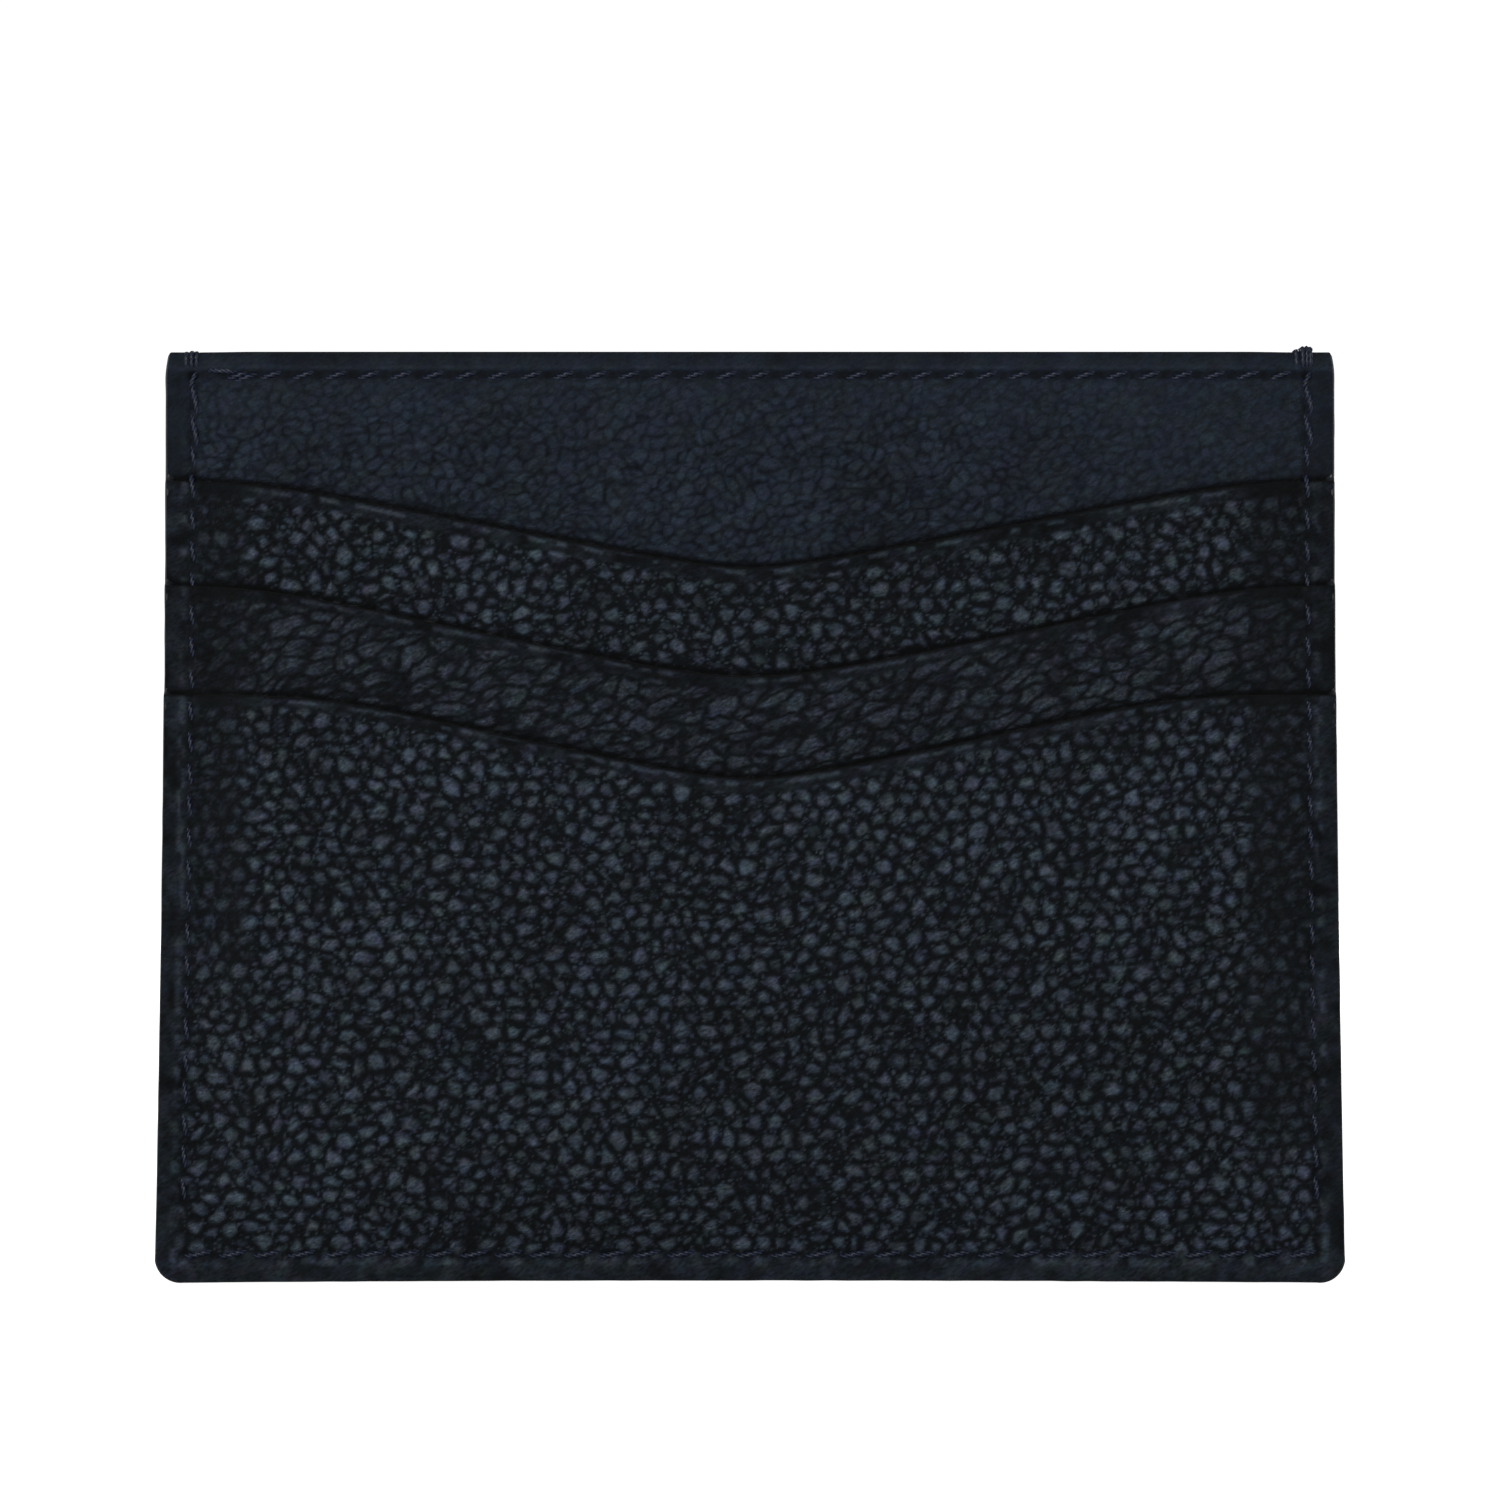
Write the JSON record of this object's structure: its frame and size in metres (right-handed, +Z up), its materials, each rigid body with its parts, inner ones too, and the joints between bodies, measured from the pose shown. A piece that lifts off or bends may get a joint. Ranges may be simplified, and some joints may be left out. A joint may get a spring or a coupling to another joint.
{
  "type": "card holder",
  "caption": "Flat sewn leather card holder with stepped card slots on both faces and an open-topped note pocket between its halves.",
  "frame": {"origin": "under the middle of the foot edge, on the surface it stands on", "axes": "+X right across the width as seen from the front, +Y from the front towards the back, +Z up to the open mouth"},
  "size_m": [0.101, 0.0084, 0.079],
  "materials": {
    "pebbled_leather": "pebbled full grain, soft sheen",
    "fine_leather": "fine shallow grain, soft sheen",
    "lining": "plain woven lining, matt",
    "edge_paint": "smooth satin edge paint",
    "thread": "twisted waxed thread"
  },
  "bodies": {
    "sewn_rim": {"front_sewn_margin": "pebbled_leather", "front_seam_thread": "thread", "back_sewn_margin": "pebbled_leather", "back_seam_thread": "thread", "edge_paint": "edge_paint"},
    "front_panel": {"front_body_leather": "fine_leather", "front_body_lining": "lining", "front_top_thread": "thread"},
    "front_slot_1": {"front_slot_1_leather": "pebbled_leather", "front_slot_1_lining": "lining", "front_slot_1_floor_thread": "thread"},
    "front_slot_2": {"front_slot_2_leather": "pebbled_leather", "front_slot_2_lining": "lining", "front_slot_2_floor_thread": "thread"},
    "front_slot_3": {"front_slot_3_leather": "pebbled_leather", "front_slot_3_lining": "lining"},
    "back_panel": {"back_body_leather": "fine_leather", "back_body_lining": "lining", "back_top_thread": "thread"},
    "back_slot_1": {"back_slot_1_leather": "pebbled_leather", "back_slot_1_lining": "lining", "back_slot_1_floor_thread": "thread"},
    "back_slot_2": {"back_slot_2_leather": "pebbled_leather", "back_slot_2_lining": "lining", "back_slot_2_floor_thread": "thread"},
    "back_slot_3": {"back_slot_3_leather": "pebbled_leather", "back_slot_3_lining": "lining"}
  },
  "joints": [
    {"name": "front_panel_gape", "type": "hinge", "parent": "sewn_rim", "child": "front_panel", "pos_m": [0, -0.00015, 0.0047], "axis": [1, 0, 0], "range_deg": [0, 2.7], "stiffness_Nm_per_rad": 0.03},
    {"name": "front_slot_1_gape", "type": "hinge", "parent": "sewn_rim", "child": "front_slot_1", "pos_m": [0, -0.00123, 0.0047], "axis": [1, 0, 0], "range_deg": [0, 4.95], "stiffness_Nm_per_rad": 0.01},
    {"name": "front_slot_2_gape", "type": "hinge", "parent": "sewn_rim", "child": "front_slot_2", "pos_m": [0, -0.00209, 0.0047], "axis": [1, 0, 0], "range_deg": [0, 7.02], "stiffness_Nm_per_rad": 0.01},
    {"name": "front_slot_3_gape", "type": "hinge", "parent": "sewn_rim", "child": "front_slot_3", "pos_m": [0, -0.00295, 0.0047], "axis": [1, 0, 0], "range_deg": [0, 9], "stiffness_Nm_per_rad": 0.03},
    {"name": "back_panel_gape", "type": "hinge", "parent": "sewn_rim", "child": "back_panel", "pos_m": [0, 0.00015, 0.0047], "axis": [-1, 0, 0], "range_deg": [0, 2.7], "stiffness_Nm_per_rad": 0.03},
    {"name": "back_slot_1_gape", "type": "hinge", "parent": "sewn_rim", "child": "back_slot_1", "pos_m": [0, 0.00123, 0.0047], "axis": [-1, 0, 0], "range_deg": [0, 4.95], "stiffness_Nm_per_rad": 0.01},
    {"name": "back_slot_2_gape", "type": "hinge", "parent": "sewn_rim", "child": "back_slot_2", "pos_m": [0, 0.00209, 0.0047], "axis": [-1, 0, 0], "range_deg": [0, 7.02], "stiffness_Nm_per_rad": 0.01},
    {"name": "back_slot_3_gape", "type": "hinge", "parent": "sewn_rim", "child": "back_slot_3", "pos_m": [0, 0.00295, 0.0047], "axis": [-1, 0, 0], "range_deg": [0, 9], "stiffness_Nm_per_rad": 0.03}
  ],
  "couplings": [
    {"joint": "front_panel_gape", "follows": "front_slot_3_gape", "ratio": 0.3},
    {"joint": "front_slot_1_gape", "follows": "front_slot_3_gape", "ratio": 0.55},
    {"joint": "front_slot_2_gape", "follows": "front_slot_3_gape", "ratio": 0.78},
    {"joint": "back_panel_gape", "follows": "back_slot_3_gape", "ratio": 0.3},
    {"joint": "back_slot_1_gape", "follows": "back_slot_3_gape", "ratio": 0.55},
    {"joint": "back_slot_2_gape", "follows": "back_slot_3_gape", "ratio": 0.78}
  ]
}
